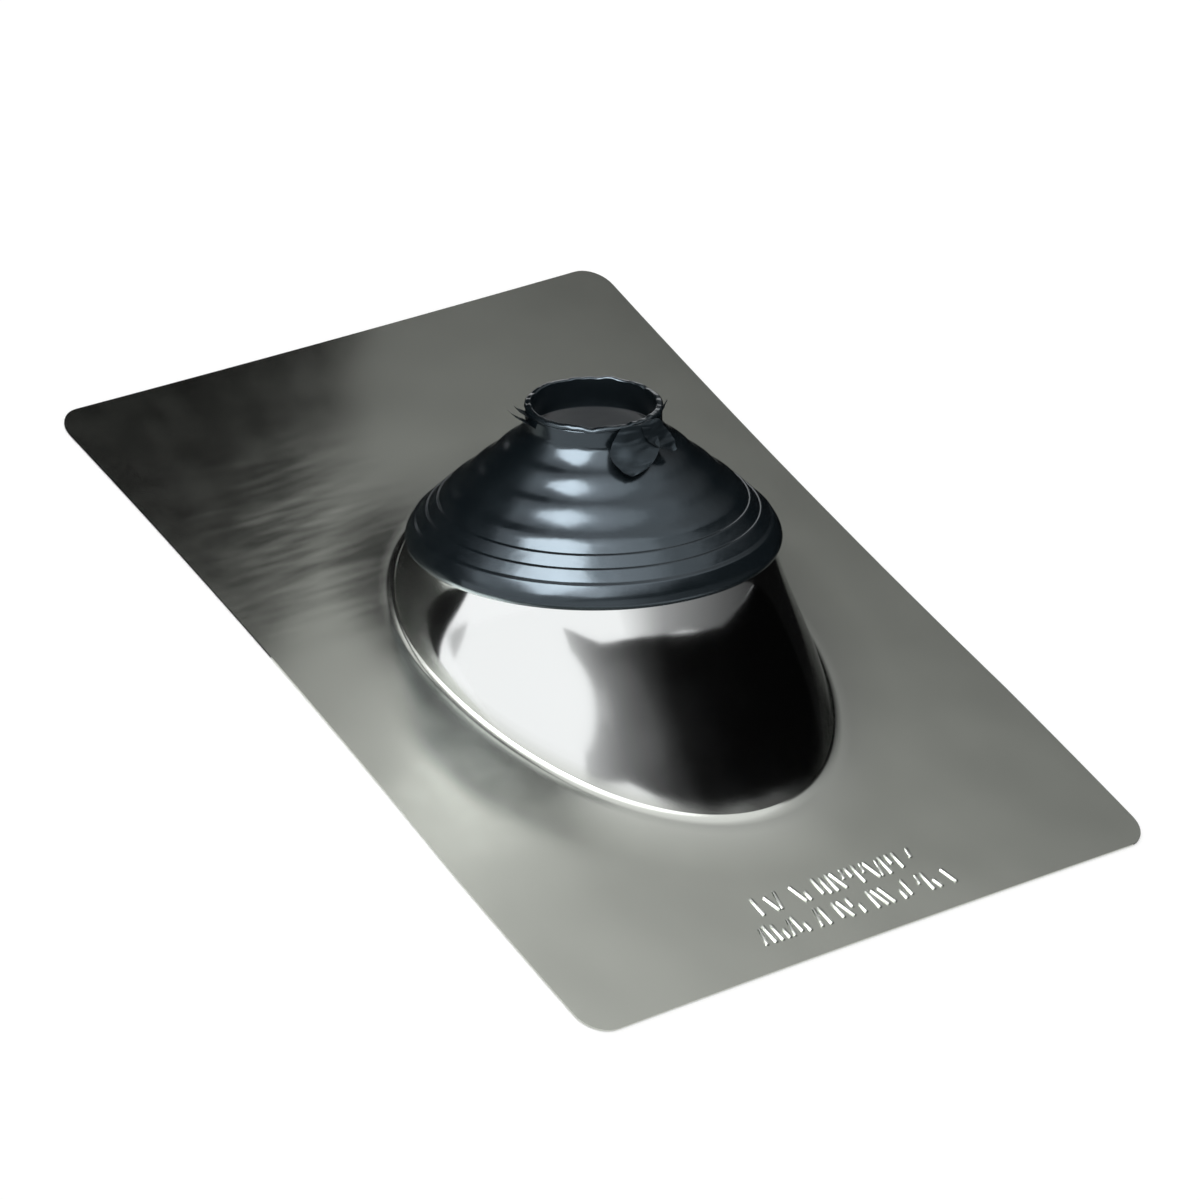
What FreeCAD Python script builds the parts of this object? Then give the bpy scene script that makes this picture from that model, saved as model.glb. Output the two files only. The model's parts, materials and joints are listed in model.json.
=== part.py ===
# Pipe flashing boot: a drawn steel base plate with an oblique collar, and a moulded rubber
# boot that snaps over the collar's rim and seals on a plumbing vent pipe.
# Millimetres. The origin is the centre of the plate's underside, +Z stands off the roof,
# +Y points up the roof slope, and the pipe leans towards +Y so that it is plumb on the roof.
import FreeCAD
import Part
import os
from math import acos, atan2, cos, hypot, pi, radians, sin, sqrt, tan

Vector = FreeCAD.Vector

# Base plate
sheet = 0.55  # thickness of the galvanised sheet
plate_width = 279.4
plate_length = 368.3
corner_radius = 12.7
side_draw_in = 4.7  # how far the draw pulls the long sides in at their waist
waist_position = 58.0  # where the waist lies, up the slope from the centre
draw_start = -90.0  # where the sides begin to pull in
upper_draw_in = 2.4  # how much of the draw is left at the upper corners
end_draw_in = 0.8

# Collar, drawn from the same sheet
roof_pitch = radians(22.62)  # a roof that rises 5 in 12
axis_offset = 2.3  # where the pipe axis meets the plate's underside, up the slope
neck_radius = 70.0
neck_height = 5.1  # round neck above the flare
upslope_rise = 6.5  # lowest point of the neck above the plate's underside
flare_down = 66.4  # run of the flare from neck to foot, down the slope
flare_up = 2.6
flare_side = 12.4
foot_rise = 2.4  # height of the bend between plate and flare
foot_steps = 3
rim_width = 4.0  # rim turned in at the top of the neck
rim_bevel = 1.6

# Rubber boot, heights from the skirt's lower edge
pipe_radius = 24.13  # nominal 1-1/2 in drain pipe
rim_clearance = 0.3  # rubber to steel, all round the rim
skirt_drop = 0.9  # how far the skirt hangs below the neck
skirt_cover = 3.2  # rubber above the rim
skirt_wall = 3.6  # rubber outside the neck, where the skirt bulges
skirt_taper = 3.5  # how far the skirt leans in from its bulge to its top
skirt_stretches = 3
edge_round = 1.0
grip_width = 5.4  # rubber lip that reaches under the rim
grip_height = 3.1
groove_depth = 1.6  # tear groove above the skirt
groove_height = 0.6
band_count = 3
band_height = 4.1
band_lean = 3.3  # radius lost up the face of one band
band_ledge = 1.0  # radius lost on the ledge between two bands
ripple_count = 3
ripple_height = 8.6
ledge_share = 0.53  # share of a ripple's width that its shallow part takes
ledge_rise = 0.39  # share of a ripple's height that its shallow part takes
wall = 2.0  # thinnest rubber, in the valleys of the ripples
neck_wall = 2.3  # rubber round the pipe
seal_length = 12.0  # length of the bore that grips the pipe
mouth_bevel = 0.5
lip_height = 4.2
lip_bulge = 0.8
lip_stretches = 2

pipe_axis = Vector(0, sin(roof_pitch), cos(roof_pitch))
up_rim = Vector(0, cos(roof_pitch), -sin(roof_pitch))  # square to the axis, up the slope
neck_start = (upslope_rise + neck_radius * sin(roof_pitch)) / cos(roof_pitch)
rim_height = neck_start + neck_height
rim_opening_radius = neck_radius - rim_width


def axis_point(height):
    """Point on the pipe axis, height measured from the plate's underside."""
    return Vector(0, axis_offset, 0) + pipe_axis * height


def plate_outline():
    """Rectangle with drawn-in sides; its corners are still sharp."""
    half_width = plate_width / 2
    half_length = plate_length / 2
    upper_half_width = half_width - upper_draw_in

    def long_side(side):
        points = [
            Vector(side * half_width, -half_length, 0),
            Vector(side * (half_width - side_draw_in / 4), draw_start, 0),
            Vector(side * (half_width - side_draw_in), waist_position, 0),
            Vector(side * upper_half_width, half_length, 0),
        ]
        curve = Part.BSplineCurve()
        curve.interpolate(points)
        return curve.toShape()

    def short_end(end, half):
        corner = Vector(half, end * half_length, 0)
        middle = Vector(0, end * (half_length - end_draw_in), 0)
        return Part.Arc(corner, middle, Vector(-half, end * half_length, 0)).toShape()

    edges = [long_side(1), short_end(1, upper_half_width), long_side(-1), short_end(-1, half_width)]
    return Part.Wire(Part.__sortEdges__(edges))


def plate():
    blank = Part.Face(plate_outline()).extrude(Vector(0, 0, sheet))
    upright = [edge for edge in blank.Edges if abs(edge.tangentAt(edge.FirstParameter).z) > 0.9]
    return blank.makeFillet(corner_radius, upright)


def half_oval(half_width, reach, start, height):
    """Half an ellipse over the X axis, as a scaled half circle."""
    arc = Part.Edge(Part.Circle(Vector(), Vector(0, 0, 1), 1), start, start + pi)
    stretch = FreeCAD.Matrix()
    stretch.scale(half_width, reach, 1)
    stretch.move(Vector(0, 0, height))
    return arc.transformGeometry(stretch)


def foot_oval(inset, share):
    """Oval round the collar's foot, at a share of the bend's rise. The bend is wide where the
    flare is shallow, and the inset keeps the wall as thick as the sheet."""
    neck = axis_point(neck_start)
    low = neck - up_rim * neck_radius
    high = neck + up_rim * neck_radius
    rise = foot_rise + inset / 2

    def reach(neck_reach, run, neck_top):
        slope = atan2(neck_top, run)
        bend = rise / (1 - cos(slope))
        turned = acos(1 - share * (1 - cos(slope)))
        return neck_reach + run + (bend - inset) * tan(slope / 2) - bend * sin(turned)

    half_width = reach(neck_radius, flare_side, neck.z)
    height = sheet - inset + share * rise
    upper = half_oval(half_width, reach(high.y, flare_up, high.z), 0, height)
    lower = half_oval(half_width, reach(-low.y, flare_down, low.z), pi, height)
    return Part.Wire([upper, lower])


def neck_circle(radius):
    """Circle at the foot of the neck, in two halves that match the ovals'."""
    centre = axis_point(neck_start)

    def point(angle):
        return centre + Vector(radius * cos(angle), 0, 0) + up_rim * (radius * sin(angle))

    halves = [
        Part.Arc(point(start), point(start + pi / 2), point(start + pi)).toShape()
        for start in (0, pi)
    ]
    return Part.Wire(halves)


def drum(inset):
    """Solid under the collar's outer face, or under its inner face when inset by the sheet."""
    radius = neck_radius - inset
    bevel = rim_bevel - inset * (2 - sqrt(2))
    bevel_start = rim_height - inset - bevel
    rings = [foot_oval(inset, (step / foot_steps) ** 2) for step in range(foot_steps + 1)]
    flare = Part.makeLoft(rings + [neck_circle(radius)], True, True)
    neck = Part.makeCylinder(radius, bevel_start - neck_start, axis_point(neck_start), pipe_axis)
    rim = Part.makeCone(radius, radius - bevel, bevel, axis_point(bevel_start), pipe_axis)
    return flare.fuse([neck, rim])


def base_flashing():
    """One sheet: what lies under its outer face, less what lies under its inner face."""
    corner = Vector(-plate_width, -plate_length, -foot_rise)
    below = Part.makeBox(2 * plate_width, 2 * plate_length, foot_rise, corner)
    drawn = plate().fuse(drum(0)).cut(below.fuse(drum(sheet)))
    hole_start = axis_point(rim_height - rim_bevel - sheet)
    hole = Part.makeCylinder(rim_opening_radius, 2 * rim_bevel + sheet, hole_start, pipe_axis)
    return drawn.cut(hole).removeSplitter()


def profile_point(radius, height):
    return Vector(radius, 0, height)


def arc_points(start, middle, end, stretches):
    """Points along an arc, in equal stretches that revolve into plain cones."""
    return Part.Arc(start, middle, end).toShape().discretize(stretches + 1)


def skirt_points(rim_overlap):
    bulge = neck_radius + skirt_wall
    skirt_height = rim_overlap + skirt_cover
    lower = profile_point(bulge - edge_round, 0)
    middle = profile_point(bulge, skirt_height / 3)
    upper = profile_point(bulge - skirt_taper, skirt_height)
    return arc_points(lower, middle, upper, skirt_stretches)


def band_points(skirt_top):
    """Faces that lean in, with a narrow ledge between each and the next."""
    points = [skirt_top + Vector(-groove_depth, 0, groove_height)]
    for band in range(band_count):
        points.append(points[-1] + Vector(-band_lean, 0, band_height))
        if band < band_count - 1:
            points.append(points[-1] + Vector(-band_ledge, 0, 0))
    return points


def ripple_points(start):
    """A shallow ledge and a steep rise for each ripple, up to the neck round the pipe."""
    ripple_width = (start.x - pipe_radius - neck_wall) / ripple_count
    points = []
    for ripple in range(ripple_count):
        foot = start + Vector(-ripple_width, 0, ripple_height) * ripple
        points.append(foot + Vector(-ledge_share * ripple_width, 0, ledge_rise * ripple_height))
        points.append(foot + Vector(-ripple_width, 0, ripple_height))
    return points


def lip_points(neck_outside, top):
    """Groove and rounded bead at the mouth of the neck."""
    groove_start = profile_point(neck_outside, top - lip_height)
    groove = groove_start + Vector(-lip_bulge, 0, lip_height / 5)
    bead_start = groove_start + Vector(0, 0, lip_height / 3)
    bead_middle = profile_point(neck_outside + lip_bulge, top - lip_height / 3)
    bead = arc_points(bead_start, bead_middle, profile_point(neck_outside, top), lip_stretches)
    return [groove_start, groove] + bead


def boot_section():
    rim_overlap = neck_height + skirt_drop
    skirt = skirt_points(rim_overlap)
    bands = band_points(skirt[-1])
    ripples = ripple_points(bands[-1])

    # inner cone, the rubber's thickness under the line through the valleys
    low_valley, high_valley = ripples[0], ripples[-2]
    slope = (low_valley.x - high_valley.x) / (high_valley.z - low_valley.z)
    thickness = wall * hypot(1, slope)

    def cone_height(radius):
        return low_valley.z + (low_valley.x - thickness - radius) / slope

    seal_start = cone_height(pipe_radius)
    seal_end = seal_start + seal_length
    top = seal_end + mouth_bevel
    lip = lip_points(ripples[-1].x, top)

    # inside: the bore, the cone, the grip under the rim and the seat on top of it
    seat = rim_overlap + rim_clearance
    grip_outside = neck_radius - rim_bevel - rim_clearance
    grip_inside = grip_outside - grip_width
    grip_top = rim_overlap - sheet - rim_clearance
    grip_bottom = grip_top - grip_height
    stem_outside = rim_opening_radius - rim_clearance
    skirt_inside = neck_radius + rim_clearance
    lead_in = skirt_drop + rim_clearance
    inside = [
        profile_point(pipe_radius + mouth_bevel, top),
        profile_point(pipe_radius, seal_end),
        profile_point(pipe_radius, seal_start),
        profile_point(grip_inside, cone_height(grip_inside)),
        profile_point(grip_inside, grip_bottom),
        profile_point(grip_outside, grip_bottom),
        profile_point(grip_outside, grip_top),
        profile_point(stem_outside, grip_top),
        profile_point(stem_outside, seat),
        profile_point(skirt_inside, seat),
        profile_point(skirt_inside, lead_in),
        profile_point(skirt_inside + lead_in, 0),
    ]
    outline = skirt + bands + ripples + lip + inside
    skirt_edge = rim_height - rim_overlap
    print("pipe bore ends at", axis_point(skirt_edge + seal_end), "length", seal_length)
    return Part.Face(Part.makePolygon(outline + outline[:1])), skirt_edge


def rubber_boot():
    section, skirt_edge = boot_section()
    boot = section.revolve(Vector(), Vector(0, 0, 1), 360)
    lean = FreeCAD.Rotation(Vector(0, 0, 1), pipe_axis)
    boot.Placement = FreeCAD.Placement(axis_point(skirt_edge), lean)
    return boot


parts = {"base_flashing": base_flashing(), "rubber_boot": rubber_boot()}

os.makedirs("parts", exist_ok=True)
for name, shape in parts.items():
    solid = shape.Solids[0]
    print(name, len(shape.Solids), solid.isValid(), round(solid.Volume, 1), solid.BoundBox)
    solid.exportStep("parts/" + name + ".step")
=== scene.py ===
import bmesh
import bpy
import json
import random
from math import acos, atan2, cos, pi, radians, sin, sqrt, tan
from mathutils import Matrix, Vector, noise


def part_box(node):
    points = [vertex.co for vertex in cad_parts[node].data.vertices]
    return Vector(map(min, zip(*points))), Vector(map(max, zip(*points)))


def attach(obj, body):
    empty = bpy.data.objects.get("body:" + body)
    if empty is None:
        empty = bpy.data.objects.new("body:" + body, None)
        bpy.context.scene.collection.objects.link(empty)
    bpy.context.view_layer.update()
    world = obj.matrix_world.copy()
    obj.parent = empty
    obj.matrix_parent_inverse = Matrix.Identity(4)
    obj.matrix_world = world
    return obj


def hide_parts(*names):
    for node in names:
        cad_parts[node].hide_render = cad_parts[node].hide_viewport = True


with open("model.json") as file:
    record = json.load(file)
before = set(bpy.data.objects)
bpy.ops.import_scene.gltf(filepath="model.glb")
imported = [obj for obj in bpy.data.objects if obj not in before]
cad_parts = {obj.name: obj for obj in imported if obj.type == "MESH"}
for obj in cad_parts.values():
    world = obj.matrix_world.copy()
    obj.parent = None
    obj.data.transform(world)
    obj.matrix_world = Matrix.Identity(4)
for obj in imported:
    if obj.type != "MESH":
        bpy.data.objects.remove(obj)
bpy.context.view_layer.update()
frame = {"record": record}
print("frame loaded")

mm = 0.001
# The collar and the boot stand round the pipe's axis, which leans by the roof's pitch.
bore = next(mount for mount in frame["record"]["mounts"] if mount["name"] == "pipe_bore")
pipeAxis = Vector(bore["axis"]).normalized()
boreMiddle = Vector(bore["pos_m"])
axisFoot = boreMiddle - pipeAxis * (boreMiddle.z / pipeAxis.z)  # where the axis meets the roof
pitch = atan2(pipeAxis.y, pipeAxis.z)
lean = Matrix.Rotation(-pitch, 4, "X")
plateHigh = Vector(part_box("base_flashing")[1])


def axisPoint(height):
    return axisFoot + pipeAxis * height


def addLoop(bm, points):
    verts = [bm.verts.new(point) for point in points]
    for start, end in zip(verts, verts[1:] + verts[:1]):
        bm.edges.new((start, end))
    return verts


def roundCorner(bm, verts, size, segments):
    bmesh.ops.bevel(bm, geom=verts, offset=size, segments=segments, affect="VERTICES",
                    profile=0.5, material=-1, clamp_overlap=False)


def addObject(name, bm, material, sharpAngle=40):
    bmesh.ops.remove_doubles(bm, verts=bm.verts, dist=mm / 1000)
    bmesh.ops.recalc_face_normals(bm, faces=bm.faces)
    mesh = bpy.data.meshes.new(name)
    bm.to_mesh(mesh)
    bm.free()
    mesh.polygons.foreach_set("use_smooth", [True] * len(mesh.polygons))
    mesh.set_sharp_from_angle(angle=radians(sharpAngle))
    mesh.materials.append(material)
    piece = bpy.data.objects.new(name, mesh)
    bpy.context.collection.objects.link(piece)
    return piece


noiseSpread = (0.3, 0.7)  # where most of a noise texture's values lie


def newMaterial(name):
    material = bpy.data.materials.new(name)
    material.use_nodes = True
    nodes = material.node_tree.nodes
    return material, nodes, material.node_tree.links, nodes["Principled BSDF"]


def addNode(nodes, kind, **inputs):
    node = nodes.new(kind)
    for key, value in inputs.items():
        node.inputs[key].default_value = value
    return node


def addNoise(nodes, links, vector, scale, detail):
    texture = addNode(nodes, "ShaderNodeTexNoise", Scale=scale, Detail=detail)
    links.new(vector, texture.inputs["Vector"])
    return texture.outputs["Fac"]


def addMath(nodes, links, operation, first, second):
    node = nodes.new("ShaderNodeMath")
    node.operation = operation
    links.new(first, node.inputs[0])
    links.new(second, node.inputs[1])
    return node.outputs[0]


# a smooth step from one range of values to another
def addRamp(nodes, links, source, stops):
    ramp = nodes.new("ShaderNodeMapRange")
    ramp.interpolation_type = "SMOOTHSTEP"
    fromMin, fromMax, toMin, toMax = stops
    ramp.inputs["From Min"].default_value = fromMin
    ramp.inputs["From Max"].default_value = fromMax
    ramp.inputs["To Min"].default_value = toMin
    ramp.inputs["To Max"].default_value = toMax
    links.new(source, ramp.inputs["Value"])
    return ramp.outputs["Result"]


def addBump(nodes, links, height, depth):
    bump = addNode(nodes, "ShaderNodeBump", Strength=1.0, Distance=depth)
    links.new(height, bump.inputs["Height"])
    return bump


steelLook = {
    "dullColor": (0.55, 0.57, 0.52, 1),  # the flat plate
    "brightColor": (0.86, 0.88, 0.88, 1),  # the drawn collar
    "dullRoughness": 0.19,
    "brightRoughness": 0.10,
    "spangle": 0.07,
    "spangleScale": 60,
    "spangleDetail": 4,
    "creaseTurn": 52,
    "creaseScale": (12, 70, 30),  # along the creases, across them, through the sheet
    "creaseDetail": 2,
    "creaseMiddle": (-0.085, 0.095, 0),
    "creaseReach": 0.085,
    "creaseDepth": 0.0004,
    "waveScale": 14,
    "waveDetail": 1,
    "waveDepth": 0.0008,
}


# gentle waves everywhere, and finer creases fanning out left of the collar
def makeBuckles(nodes, links, coords):
    turned = addNode(nodes, "ShaderNodeMapping", Rotation=(0, 0, radians(steelLook["creaseTurn"])),
                     Scale=steelLook["creaseScale"])
    links.new(coords, turned.inputs["Vector"])
    creases = addNoise(nodes, links, turned.outputs["Vector"], 1, steelLook["creaseDetail"])
    away = nodes.new("ShaderNodeVectorMath")
    away.operation = "DISTANCE"
    away.inputs[1].default_value = steelLook["creaseMiddle"]
    links.new(coords, away.inputs[0])
    nearby = addRamp(nodes, links, away.outputs["Value"], (0, steelLook["creaseReach"], 1, 0))
    local = addMath(nodes, links, "MULTIPLY", creases, nearby)
    fine = addBump(nodes, links, local, steelLook["creaseDepth"])
    waves = addNoise(nodes, links, coords, steelLook["waveScale"], steelLook["waveDetail"])
    broad = addBump(nodes, links, waves, steelLook["waveDepth"])
    links.new(fine.outputs["Normal"], broad.inputs["Normal"])
    return broad.outputs["Normal"]


def makeSteel():
    material, nodes, links, shader = newMaterial("galvanisedSteel")
    shader.inputs["Metallic"].default_value = 1
    coords = nodes.new("ShaderNodeTexCoord").outputs["Object"]
    drawnNode = nodes.new("ShaderNodeAttribute")
    drawnNode.attribute_name = "drawn"
    drawn = drawnNode.outputs["Fac"]
    mixColor = nodes.new("ShaderNodeMix")
    mixColor.data_type = "RGBA"
    mixColor.inputs["A"].default_value = steelLook["dullColor"]
    mixColor.inputs["B"].default_value = steelLook["brightColor"]
    links.new(drawn, mixColor.inputs["Factor"])
    links.new(mixColor.outputs["Result"], shader.inputs["Base Color"])
    rough = addRamp(nodes, links, drawn,
                    (0, 1, steelLook["dullRoughness"], steelLook["brightRoughness"]))
    spangle = addNoise(nodes, links, coords, steelLook["spangleScale"], steelLook["spangleDetail"])
    uneven = addRamp(nodes, links, spangle,
                     (*noiseSpread, 1 - steelLook["spangle"], 1 + steelLook["spangle"]))
    links.new(addMath(nodes, links, "MULTIPLY", rough, uneven), shader.inputs["Roughness"])
    links.new(makeBuckles(nodes, links, coords), shader.inputs["Normal"])
    return material


rubberLook = {
    "color": (0.005, 0.008, 0.010, 1),
    "specularTint": (0.73, 0.88, 1.0, 1),
    "ior": 1.7,
    "roughness": 0.20,
    "shine": 0.5,
    "tornRoughness": 0.42,
    "tornShine": 0.22,
    "smoother": 0.03,  # how far clouds take the roughness down
    "rougher": 0.06,  # and up
    "cloudScale": 55,
    "cloudDetail": 3,
    "cloudDepth": 0.0003,
}


def makeRubber(name, roughness, shine):
    material, nodes, links, shader = newMaterial(name)
    shader.inputs["Base Color"].default_value = rubberLook["color"]
    shader.inputs["IOR"].default_value = rubberLook["ior"]
    shader.inputs["Specular IOR Level"].default_value = shine
    shader.inputs["Specular Tint"].default_value = rubberLook["specularTint"]
    coords = nodes.new("ShaderNodeTexCoord").outputs["Object"]
    cloud = addNoise(nodes, links, coords, rubberLook["cloudScale"], rubberLook["cloudDetail"])
    uneven = addRamp(nodes, links, cloud, (*noiseSpread, roughness - rubberLook["smoother"],
                                           roughness + rubberLook["rougher"]))
    links.new(uneven, shader.inputs["Roughness"])
    bump = addBump(nodes, links, cloud, rubberLook["cloudDepth"])
    links.new(bump.outputs["Normal"], shader.inputs["Normal"])
    return material


steel = makeSteel()
rubber = makeRubber("blackRubber", rubberLook["roughness"], rubberLook["shine"])
tornRubber = makeRubber("tornRubber", rubberLook["tornRoughness"], rubberLook["tornShine"])
print("materials made")

flashing = {
    "sheet": 0.00055,
    "cornerRadius": 0.0127,
    "cornerSteps": 10,
    "outlineRows": 24,
    # how far the draw pulled the plate's edges in, and where along its length
    "sideDrawIn": 0.0047,
    "earlyShare": 0.25,
    "upperDrawIn": 0.0024,
    "endDrawIn": 0.0008,
    "drawStart": -0.090,
    "waist": 0.058,
    # the shallow dish round the collar's foot, and the bend up from it
    "dishWidth": 0.026,
    "dishRise": 0.0012,
    "dishSteps": 8,
    "footRise": 0.0024,
    "bendSteps": 8,
    # how far the collar spreads at the sides, down the roof and up the roof
    "flareSide": 0.0124,
    "flareDown": 0.0664,
    "flareUp": 0.0026,
    "flareRows": 20,
    "footBulge": 0.0012,
    "neckPull": 0.24,
    "neckRadius": 0.070,
    "neckStart": 0.0362,
    "neckHeight": 0.0385,
    "rimHeight": 0.0413,
    "rimWidth": 0.004,
    "rimBend": 0.0014,
    "rimSteps": 4,
    "segments": 192,
    "dullRise": 0.008,  # the steel turns bright over this height
    "sharpAngle": 18,
}


# the plate's half width at y
def sideAt(y):
    values = flashing
    early = values["sideDrawIn"] * values["earlyShare"]
    if y < values["drawStart"]:
        share = (y + plateHigh.y) / (values["drawStart"] + plateHigh.y)
        return plateHigh.x - early * share ** 2
    if y < values["waist"]:
        share = (y - values["drawStart"]) / (values["waist"] - values["drawStart"])
        return plateHigh.x - early - (values["sideDrawIn"] - early) * share * (2 - share)
    share = (y - values["waist"]) / (plateHigh.y - values["waist"])
    regained = values["sideDrawIn"] - values["upperDrawIn"]
    return plateHigh.x - values["sideDrawIn"] + regained * share ** 2


# the plate's half length at a share of its half width
def endAt(share):
    return plateHigh.y - flashing["endDrawIn"] * (1 - share ** 2)


# The lower end, the right side, the upper end and the left side, in turn.
def plateOutline():
    rows = flashing["outlineRows"]
    lowerHalf = sideAt(-plateHigh.y)
    upperHalf = sideAt(plateHigh.y)
    shares = [2 * row / rows - 1 for row in range(rows)]
    outline = [(share * lowerHalf, -endAt(share)) for share in shares]
    outline += [(sideAt(share * plateHigh.y), share * plateHigh.y) for share in shares]
    outline += [(-share * upperHalf, endAt(share)) for share in shares]
    outline += [(-sideAt(-share * plateHigh.y), -share * plateHigh.y) for share in shares]
    return outline


# half width, reach down the roof and reach up it, after a share of the bend at the foot
def footReaches(share):
    values = flashing
    neck = axisPoint(values["neckStart"])
    upRim = Vector((0, pipeAxis.z, -pipeAxis.y))
    low = neck - upRim * values["neckRadius"]
    high = neck + upRim * values["neckRadius"]
    reaches = []
    for start, run, rise in ((values["neckRadius"], values["flareSide"], neck.z),
                             (-low.y, values["flareDown"], low.z),
                             (high.y, values["flareUp"], high.z)):
        slope = atan2(rise, run)
        bend = values["footRise"] / (1 - cos(slope))
        turned = acos(1 - share * (1 - cos(slope)))
        reaches.append(start + run + bend * (tan(slope / 2) - sin(turned)))
    return reaches


# a curve from the foot that bulges a little and ends along the pipe's axis
def flarePoint(start, end, share):
    values = flashing
    onAxis = axisFoot + pipeAxis * (start - axisFoot).dot(pipeAxis)
    outward = (start - onAxis).normalized()
    low = start.lerp(end, 1 / 3) + outward * values["footBulge"]
    high = end - pipeAxis * (end - start).length * values["neckPull"]
    rest = 1 - share
    return (start * rest ** 3 + low * 3 * rest ** 2 * share + high * 3 * rest * share ** 2
            + end * share ** 3)


def addOval(bm, halfWidth, reachDown, reachUp, height):
    ring = bmesh.ops.create_circle(bm, segments=flashing["segments"], radius=1)["verts"]
    for vert in ring:
        reach = reachUp if vert.co.y > 0 else reachDown
        vert.co = Vector((vert.co.x * halfWidth, vert.co.y * reach, height))
    return ring


def addCircle(bm, radius, height):
    place = Matrix.Translation(axisPoint(height)) @ lean
    made = bmesh.ops.create_circle(bm, segments=flashing["segments"], radius=radius, matrix=place)
    return made["verts"]


def addFoot(bm):
    values = flashing
    top = values["sheet"]
    rings = []
    for step in range(values["dishSteps"]):
        share = step / values["dishSteps"]
        beyond = values["dishWidth"] * (1 - share)
        reaches = [reach + beyond for reach in footReaches(0)]
        rings.append(addOval(bm, *reaches, top + share ** 2 * values["dishRise"]))
    for step in range(values["bendSteps"] + 1):
        share = (step / values["bendSteps"]) ** 2
        height = top + values["dishRise"] + share * (values["footRise"] - values["dishRise"])
        rings.append(addOval(bm, *footReaches(share), height))
    return rings


def addFlare(bm, foot):
    values = flashing
    neck = addCircle(bm, values["neckRadius"], values["neckHeight"])
    rings = []
    for row in range(1, values["flareRows"]):
        ring = addOval(bm, *footReaches(1), values["sheet"])
        for vert, start, end in zip(ring, foot, neck):
            vert.co = flarePoint(start.co, end.co, row / values["flareRows"])
        rings.append(ring)
    return rings + [neck]


def addRim(bm):
    values = flashing
    rings = []
    for step in range(values["rimSteps"] + 1):
        angle = pi / 2 * step / values["rimSteps"]
        radius = values["neckRadius"] - values["rimBend"] * (1 - cos(angle))
        height = values["rimHeight"] - values["rimBend"] * (1 - sin(angle))
        rings.append(addCircle(bm, radius, height))
    return rings + [addCircle(bm, values["neckRadius"] - values["rimWidth"], values["rimHeight"])]


def ringEdges(verts):
    found = set(verts)
    return list({edge for vert in verts for edge in vert.link_edges if edge.other_vert(vert) in found})


# The plate runs from its rounded outline to the dish, which stays open.
def addPlate(bm, dish):
    values = flashing
    verts = addLoop(bm, [(x, y, values["sheet"]) for x, y in plateOutline()])
    roundCorner(bm, verts[::values["outlineRows"]], values["cornerRadius"], values["cornerSteps"])
    border = [edge for edge in bm.edges if not edge.link_faces]
    filled = bmesh.ops.triangle_fill(bm, edges=border + ringEdges(dish), use_beauty=True)
    inner = set(dish)
    inside = [face for face in filled["geom"] if isinstance(face, bmesh.types.BMFace)
              and all(vert in inner for vert in face.verts)]
    bmesh.ops.delete(bm, geom=inside, context="FACES_ONLY")


def makeFlashing():
    values = flashing
    bm = bmesh.new()
    rings = addFoot(bm)
    rings += addFlare(bm, rings[-1])
    rings += addRim(bm)
    for lower, higher in zip(rings, rings[1:]):
        bmesh.ops.bridge_loops(bm, edges=ringEdges(lower) + ringEdges(higher))
    addPlate(bm, rings[0])  # after the rings, because a corner's rounding mixes up a later ring
    bmesh.ops.recalc_face_normals(bm, faces=bm.faces)
    layer = bm.verts.layers.float.new("drawn")
    for vert in bm.verts:
        vert[layer] = min(1, max(0, (vert.co.z - values["sheet"]) / values["dullRise"]))
    bmesh.ops.solidify(bm, geom=bm.faces[:], thickness=values["sheet"])
    return addObject("flashing", bm, steel, values["sharpAngle"])


flashingPiece = makeFlashing()
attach(flashingPiece, "root")
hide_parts("base_flashing")
print("flashing made")

stamping = {
    "rows": [((-0.0375, -0.1530), (0.0385, -0.1545)), ((-0.0455, -0.1665), (0.0460, -0.1680))],
    "pitch": 0.0033,
    "length": 0.0096,
    "width": 0.0016,
    "rise": 0.0006,
    "sunk": 0.0004,  # how far a stroke reaches into the sheet
    "rounding": 0.75,
    "roundSteps": 3,
    "lengthShares": (1, 1, 0.9, 0.55),
    "slants": (0, 0, 0, -14, 14),
    "leftOut": 0.13,
    "seed": 7,
    "shine": 0.35,
    "sharpAngle": 60,
}


# Two rows of plain strokes, which spell nothing.
def makeStamping():
    values = stamping
    chooser = random.Random(values["seed"])
    bm = bmesh.new()
    for ends in values["rows"]:
        start, end = [Vector((*point, 0)) for point in ends]
        count = int((end - start).length / values["pitch"])
        for step in range(count + 1):
            if chooser.random() < values["leftOut"]:
                continue
            length = values["length"] * chooser.choice(values["lengthShares"])
            place = start.lerp(end, step / count)
            place.y += (values["length"] - length) / 2 * chooser.choice((-1, 1))
            place.z = flashing["sheet"] + (values["rise"] - values["sunk"]) / 2
            turn = Matrix.Rotation(radians(chooser.choice(values["slants"])), 4, "Z")
            size = Matrix.Diagonal((values["width"], length, values["rise"] + values["sunk"], 1))
            bmesh.ops.create_cube(bm, size=1, matrix=Matrix.Translation(place) @ turn @ size)
    bmesh.ops.bevel(bm, geom=bm.edges[:], offset=values["rise"] * values["rounding"],
                    segments=values["roundSteps"], affect="EDGES", profile=0.5, material=-1,
                    clamp_overlap=True)
    layer = bm.verts.layers.float.new("drawn")
    for vert in bm.verts:
        vert[layer] = values["shine"]
    return addObject("stamping", bm, steel, values["sharpAngle"])


stampingPiece = makeStamping()
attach(stampingPiece, "root")
print("stamping made")

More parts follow.
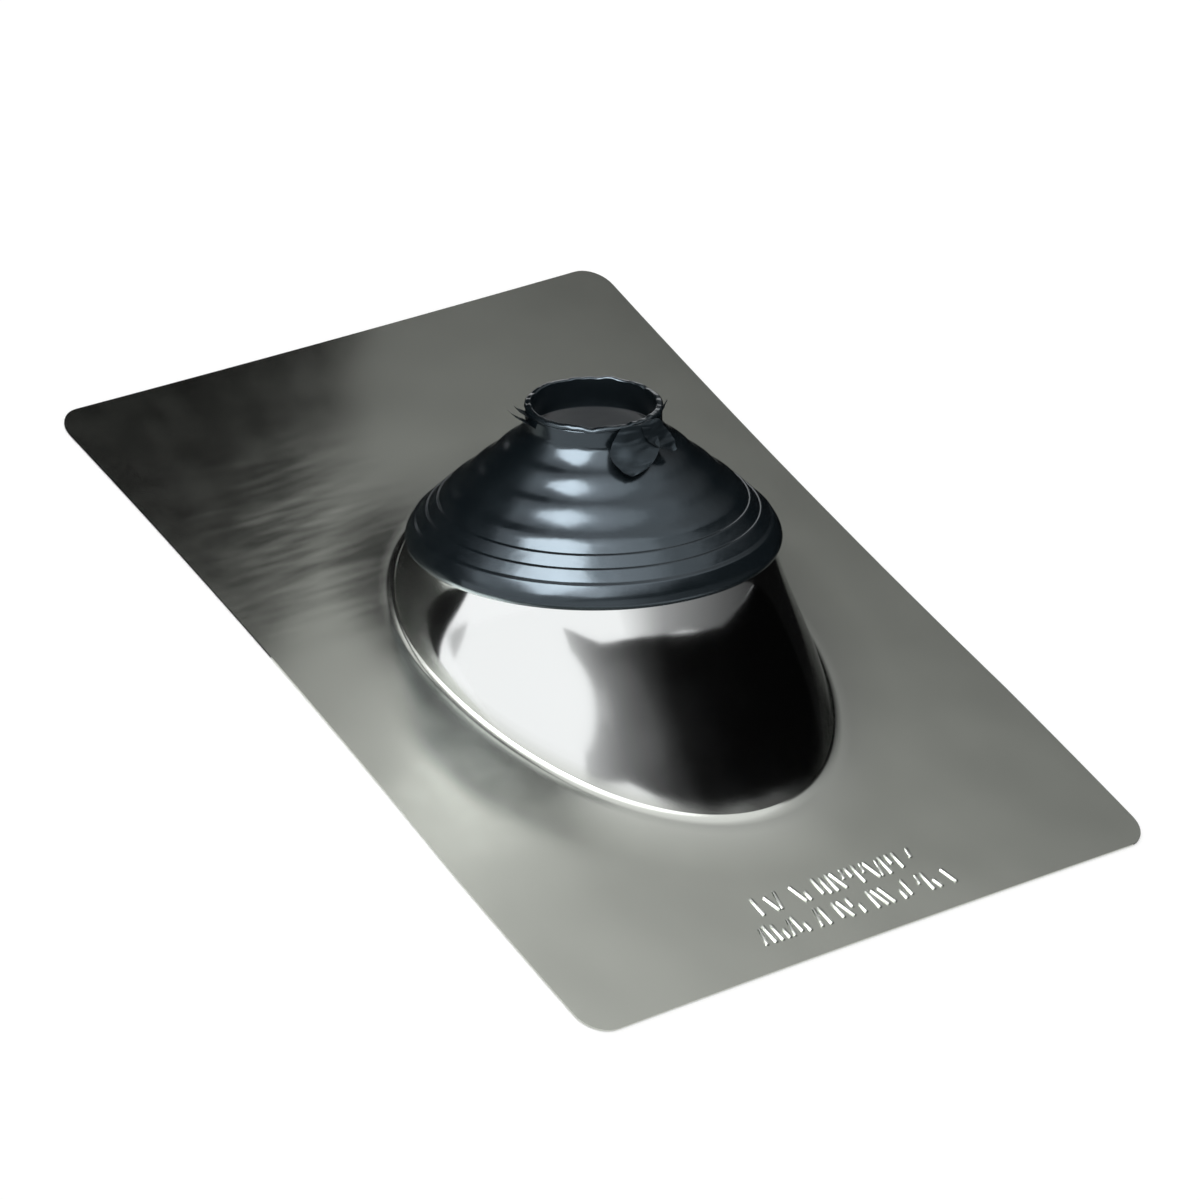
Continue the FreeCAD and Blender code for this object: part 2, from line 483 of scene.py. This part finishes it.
# all lengths in mm
boot = {
    "skirtEdge": 35.3,  # from the roof, along the pipe's axis
    # radius, height from the skirt's lower edge, corner rounding
    "profile": [
        (72.6, 0.0, 0.5), (73.4, 1.4, 0.9), (73.2, 4.2, 2.0), (70.1, 9.2, 0.5), (68.6, 9.8, 0.3),
        (65.2, 13.9, 0.5), (64.2, 13.9, 0.3), (60.9, 18.0, 0.5), (59.9, 18.0, 0.3),
        (56.6, 22.1, 1.6),
        (51.3, 25.4, 2.6), (46.5, 30.7, 2.6), (41.2, 34.0, 2.6), (36.5, 39.3, 2.6),
        (31.1, 42.6, 2.6), (26.6, 47.9, 1.6),
        (26.43, 54.3, 0.4), (25.6, 55.2, 0.4), (26.4, 56.0, 0.3), (27.0, 57.2, 0.5), (26.3, 58.3, 0.4),
        (24.6, 58.5, 0.2), (24.13, 58.0, 0.1),
        (24.13, 46.0, 0.5), (62.7, 13.2, 0.5), (62.7, 2.2, 0.5), (68.1, 2.2, 0.5), (68.1, 5.15, 0.4),
        (65.7, 5.15, 0.2), (65.7, 6.3, 0.2), (70.3, 6.3, 0.2), (70.3, 1.2, 0.3), (71.5, 0.0, 0.2),
    ],
    "cornerSteps": 4,
    "segments": 160,
    "sharpAngle": 50,
    # the ragged lip starts at this height and is full grown after the band
    "raggedFrom": 55.0,
    "raggedBand": 2.0,
    "raggedDepth": 0.9,
    "raggedWaves": 3.1,
    "raggedSway": 0.35,
    "lipInside": 25.0,
    "frontAngle": 235,
    "frontDrop": 1.7,
    # angle round the boot, turn from root to tip, then radius, height and half width
    "tornFlaps": [
        (272, -19, [(25.8, 55.6, 6), (27.8, 55.8, 8), (29.0, 53.2, 9.5), (30.2, 50.2, 10.5),
                    (32.6, 47.0, 11), (35.4, 44.4, 9), (37.8, 42.0, 5.5), (39.2, 40.4, 1.5)]),
        (280, 9, [(26.0, 55.4, 4), (28.4, 54.8, 5.5), (29.8, 51.6, 6.5), (31.4, 48.8, 6.5),
                  (33.8, 46.4, 5), (36.0, 44.0, 1.5)]),
        (163, -2, [(26.0, 51.0, 5.0), (27.6, 52.2, 4.6), (29.8, 53.6, 3.6), (32.4, 55.4, 2.2),
                   (35.2, 58.4, 0.7)]),
        (152, 3, [(26.0, 53.6, 4.0), (27.6, 54.6, 3.4), (29.6, 56.0, 2.4), (31.4, 58.4, 0.7)]),
        (318, -3, [(25.8, 54.0, 4.0), (27.1, 55.8, 3.0), (27.8, 58.4, 0.8)]),
    ],
    "flapColumns": 12,
    "flapRows": 5,  # between two stops
    "flapWaves": 5,
    "flapDrift": 0.35,
    "flapRipple": 0.5,
    "flapCurl": 0.8,
}


# a Catmull-Rom curve through the stops
def smoothPath(stops, rows):
    points = []
    for index in range(len(stops) - 1):
        before, start, end, after = [Vector(stops[min(max(index + step, 0), len(stops) - 1)])
                                     for step in (-1, 0, 1, 2)]
        for row in range(rows):
            t = row / rows
            points.append(0.5 * (2 * start + (end - before) * t
                                 + (2 * before - 5 * start + 4 * end - after) * t * t
                                 + (3 * start - before - 3 * end + after) * t * t * t))
    return points + [Vector(stops[-1])]


# A grid is laid along the flap's path, rippled and curled at its edges.
def addFlap(bm, angle, turn, stops):
    points = smoothPath(stops, boot["flapRows"])
    last = len(points) - 1
    made = bmesh.new()
    grid = bmesh.ops.create_grid(made, x_segments=boot["flapColumns"], y_segments=last, size=1)["verts"]
    for vert in grid:
        across = vert.co.x
        index = round((vert.co.y + 1) / 2 * last)
        radius, height, half = points[index]
        around = radians(angle + turn * index / last) + across * half / radius
        wave = noise.noise(Vector((around * boot["flapWaves"], index * boot["flapDrift"], angle)))
        lift = boot["flapRipple"] * wave + boot["flapCurl"] * across ** 2 * index / len(points)
        reach = radius + lift
        vert.co = Vector((cos(around) * reach, sin(around) * reach, height + lift)) * mm
    for face in made.faces:
        face.material_index = 1  # the torn rubber
    flap = bpy.data.meshes.new("flap")
    made.to_mesh(flap)
    made.free()
    bm.from_mesh(flap)
    bpy.data.meshes.remove(flap)


def makeRagged(bm):
    front = Vector((cos(radians(boot["frontAngle"])), sin(radians(boot["frontAngle"])), 0))
    for vert in bm.verts:
        height = vert.co.z / mm
        if height > boot["raggedFrom"]:
            radius = sqrt(vert.co.x ** 2 + vert.co.y ** 2)
            out = Vector((vert.co.x, vert.co.y, 0)) / radius
            waves = out * boot["raggedWaves"]
            wave = noise.noise(waves) + 0.5 * noise.noise(waves * 3)
            share = min(1, (height - boot["raggedFrom"]) / boot["raggedBand"])
            toFront = (1 + out.dot(front)) / 2
            drop = boot["raggedDepth"] * max(0, 0.5 + wave) + boot["frontDrop"] * toFront
            vert.co.z -= share * drop * mm
            if radius / mm > boot["lipInside"]:
                vert.co += out * (share * boot["raggedSway"] * wave * mm)


def makeBoot():
    bm = bmesh.new()
    verts = addLoop(bm, [(radius * mm, 0, height * mm) for radius, height, _ in boot["profile"]])
    for vert, (_, _, rounding) in zip(verts, boot["profile"]):
        roundCorner(bm, [vert], rounding * mm, boot["cornerSteps"])
    bmesh.ops.spin(bm, geom=bm.verts[:] + bm.edges[:], cent=(0, 0, 0), axis=(0, 0, 1),
                   angle=2 * pi, steps=boot["segments"], use_merge=True)
    makeRagged(bm)
    for angle, turn, stops in boot["tornFlaps"]:
        addFlap(bm, angle, turn, stops)
    place = Matrix.Translation(axisPoint(boot["skirtEdge"] * mm)) @ lean
    bmesh.ops.transform(bm, matrix=place, verts=bm.verts)
    made = addObject("boot", bm, rubber, boot["sharpAngle"])
    made.data.materials.append(tornRubber)
    return made


bootPiece = makeBoot()
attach(bootPiece, "root")
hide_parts("rubber_boot")
print("boot made")

floorLook = {
    "color": (0.94, 0.94, 0.94, 1),
    "roughness": 0.9,
    "glow": 0.13,  # lifts the floor to white where it is seen directly
    "halfSize": 6,
    "height": -0.0004,
}


# 1 for what the camera sees directly, in a mirror or through glass
def seenDirectly(nodes, links):
    path = nodes.new("ShaderNodeLightPath")
    seen = path.outputs["Is Camera Ray"]
    for name in ("Is Glossy Ray", "Is Transmission Ray"):
        seen = addMath(nodes, links, "MAXIMUM", seen, path.outputs[name])
    return seen


def makeFloor():
    bm = bmesh.new()
    bmesh.ops.create_grid(bm, x_segments=1, y_segments=1, size=floorLook["halfSize"],
                          matrix=Matrix.Translation((0, 0, floorLook["height"])))
    material, nodes, links, shader = newMaterial("paleFloor")
    shader.inputs["Base Color"].default_value = floorLook["color"]
    shader.inputs["Roughness"].default_value = floorLook["roughness"]
    shader.inputs["Specular IOR Level"].default_value = 0
    shader.inputs["Emission Color"].default_value = (1, 1, 1, 1)
    glow = addRamp(nodes, links, seenDirectly(nodes, links), (0, 1, 0, floorLook["glow"]))
    links.new(glow, shader.inputs["Emission Strength"])
    floor = addObject("floor", bm, material)


cameraView = {
    "aim": (-0.017, -0.012, 0.030),
    "direction": (0.5836, 0.5145, -0.6283),
    "distance": 2.695,
    "lens": 210.05,
    "sensor": 36,
    "clipEnd": 50,
}


def makeCamera():
    forward = Vector(cameraView["direction"]).normalized()
    right = forward.cross(pipeAxis).normalized()  # the pipe stands upright in the picture
    up = right.cross(forward)
    camera = bpy.data.cameras.new("camera")
    camera.lens = cameraView["lens"]
    camera.sensor_width = cameraView["sensor"]
    camera.clip_end = cameraView["clipEnd"]
    cameraObject = bpy.data.objects.new("camera", camera)
    bpy.context.collection.objects.link(cameraObject)
    place = Vector(cameraView["aim"]) - forward * cameraView["distance"]
    turn = Matrix((right, up, -forward)).transposed().to_4x4()
    cameraObject.matrix_world = Matrix.Translation(place) @ turn
    bpy.context.scene.camera = cameraObject


light = {
    "ambient": 0.62,
    "sunDirection": (0.35, 0.25, -1.0),
    "sunStrength": 1.15,
    "sunAngle": 40,
}


def makeWorld():
    world = bpy.data.worlds.new("studio")
    bpy.context.scene.world = world
    world.use_nodes = True
    nodes = world.node_tree.nodes
    links = world.node_tree.links
    background = nodes["Background"]
    background.inputs["Color"].default_value = (1, 1, 1, 1)
    level = addRamp(nodes, links, seenDirectly(nodes, links), (0, 1, light["ambient"], 1))
    links.new(level, background.inputs["Strength"])


def makeSun():
    sun = bpy.data.lights.new("softSun", "SUN")
    sun.energy = light["sunStrength"]
    sun.angle = radians(light["sunAngle"])
    lamp = bpy.data.objects.new("softSun", sun)
    lamp.rotation_euler = Vector(light["sunDirection"]).to_track_quat("-Z", "Y").to_euler()
    bpy.context.collection.objects.link(lamp)


# The studio round the part shows only in what the steel and the rubber mirror.
studio = {
    # name, azimuth and elevation of its middle, distance, width, height, brightness of its
    # lower left, lower right, upper left and upper right corners
    "cards": [
        ("greyCard", 44, 40, 0.75, 1.1, 0.64, (0.12, 0.02, 1.35, 0.62)),
        ("softbox", 166, 53, 1.0, 0.62, 0.58, (12, 12, 12, 12)),
        ("sideGlow", 141, 17, 1.0, 0.30, 0.18, (2.6, 2.6, 2.6, 2.6)),
        ("overhead", 215, 80, 1.2, 0.8, 0.8, (2, 2, 2, 2)),
        ("frontGlow", 46.5, 47, 0.6, 0.06, 0.085, (1.5, 1.5, 1.5, 1.5)),
    ],
    "cardSteps": 8,
    "cardFade": 1.6,  # above 1 the upper brightness comes in late
    # azimuth, lowest and highest elevation of a wall's columns, and their brightness
    "walls": [
        ("darkWall", [
            (208, 20, 30, 0.55), (214, 25, 39, 0.36), (221, 31, 46, 0.22), (227, 35, 52, 0.14),
            (234, 36.5, 58, 0.09), (243, 37, 60, 0.05), (256, 37.5, 60, 0.02), (272, 37, 60, 0.001),
            (300, 33, 60, 0.001), (315, 27, 58, 0.001), (330, 14, 55, 0.001), (342, 0, 50, 0.001),
            (355, 0, 46, 0.001), (370, 0, 42, 0.001), (382, 0, 36, 0.001), (392, 0, 32, 0.001),
            (402, 0, 27, 0.02),
        ]),
        ("darkLeft", [
            (95, 0, 34, 0.001), (118, 0, 32, 0.001), (134, 0, 26, 0.02), (148, 0, 14, 0.2),
            (156, 0, 3, 0.6),
        ]),
        # a pale band that fades out just under the dark wall
        ("paleBand", [
            (244, 0, 35.95, 0.95), (256, 0, 37.45, 0.68), (264, 0, 37.25, 0.48), (272, 0, 36.95, 0.34),
            (286, 0, 34.95, 0.24), (300, 0, 32.95, 0.17), (315, 0, 26.95, 0.11), (330, 0, 13.95, 0.07),
            (341, 0, 0.95, 0.04),
        ]),
    ],
    "wallRadius": 0.95,
    "sideFlag": [(0.252, 0.418, 0.02), (-0.45, 1.12, 0.02), (-0.45, 1.12, 1.25), (0.252, 0.418, 1.25)],
    "floorFlags": [
        ("darkFloor", [(0.13, -0.50), (1.4, -0.80), (1.4, 0.80), (0.13, 0.24)]),
        ("darkFloorLeft", [(0.10, 0.16), (0.10, 1.4), (-1.4, 0.95), (-0.13, 0.03)]),
    ],
    "floorFlagHeight": -0.0002,
    "floorFlagLevel": 0.003,
}


def towards(azimuth, elevation, distance):
    level = cos(radians(elevation)) * distance
    return Vector((cos(radians(azimuth)) * level, sin(radians(azimuth)) * level,
                   sin(radians(elevation)) * distance))


# The brightness comes from the mesh's "level" attribute.
def finishCard(name, bm):
    material, nodes, links, shader = newMaterial(name)
    shader.inputs["Base Color"].default_value = (0, 0, 0, 1)
    shader.inputs["Specular IOR Level"].default_value = 0
    shader.inputs["Emission Color"].default_value = (1, 1, 1, 1)
    level = nodes.new("ShaderNodeAttribute")
    level.attribute_name = "level"
    links.new(level.outputs["Fac"], shader.inputs["Emission Strength"])
    card = addObject(name, bm, material)
    card.visible_camera = False
    card.visible_diffuse = False
    card.visible_shadow = False


def makeCard(name, azimuth, elevation, distance, width, height, levels):
    bm = bmesh.new()
    layer = bm.verts.layers.float.new("level")
    steps = studio["cardSteps"]
    grid = bmesh.ops.create_grid(bm, x_segments=steps, y_segments=steps, size=1)["verts"]
    lowLeft, lowRight, highLeft, highRight = levels
    for vert in grid:
        across = (vert.co.x + 1) / 2
        rise = ((vert.co.y + 1) / 2) ** studio["cardFade"]
        low = lowLeft + (lowRight - lowLeft) * across
        high = highLeft + (highRight - highLeft) * across
        vert[layer] = low + (high - low) * rise
    centre = towards(azimuth, elevation, distance)
    turn = (-centre).to_track_quat("Z", "Y").to_matrix().to_4x4()  # it faces the part
    size = Matrix.Diagonal((width / 2, height / 2, 1, 1))
    bmesh.ops.transform(bm, matrix=Matrix.Translation(centre) @ turn @ size, verts=bm.verts)
    finishCard(name, bm)


def makeWall(name, columns):
    bm = bmesh.new()
    layer = bm.verts.layers.float.new("level")
    radius = studio["wallRadius"]
    corners = []
    for azimuth, low, high, level in columns:
        foot = towards(azimuth, 0, radius)
        corners.append([bm.verts.new(foot + Vector((0, 0, radius * tan(radians(angle)))))
                        for angle in (low, high)])
        for vert in corners[-1]:
            vert[layer] = level
    for left, right in zip(corners, corners[1:]):
        bm.faces.new((left[0], right[0], right[1], left[1]))
    finishCard(name, bm)


def makeFlag(name, corners, level):
    bm = bmesh.new()
    layer = bm.verts.layers.float.new("level")
    verts = [bm.verts.new(corner) for corner in corners]
    for vert in verts:
        vert[layer] = level
    bm.faces.new(verts)
    finishCard(name, bm)


def makeStudio():
    for card in studio["cards"]:
        makeCard(*card)
    for name, columns in studio["walls"]:
        makeWall(name, columns)
    makeFlag("darkSide", studio["sideFlag"], 0)
    for name, outline in studio["floorFlags"]:
        corners = [(x, y, studio["floorFlagHeight"]) for x, y in outline]
        makeFlag(name, corners, studio["floorFlagLevel"])


makeFloor()
makeCamera()
makeWorld()
makeSun()
makeStudio()
bpy.context.scene.view_settings.view_transform = "Standard"
print("stage made")
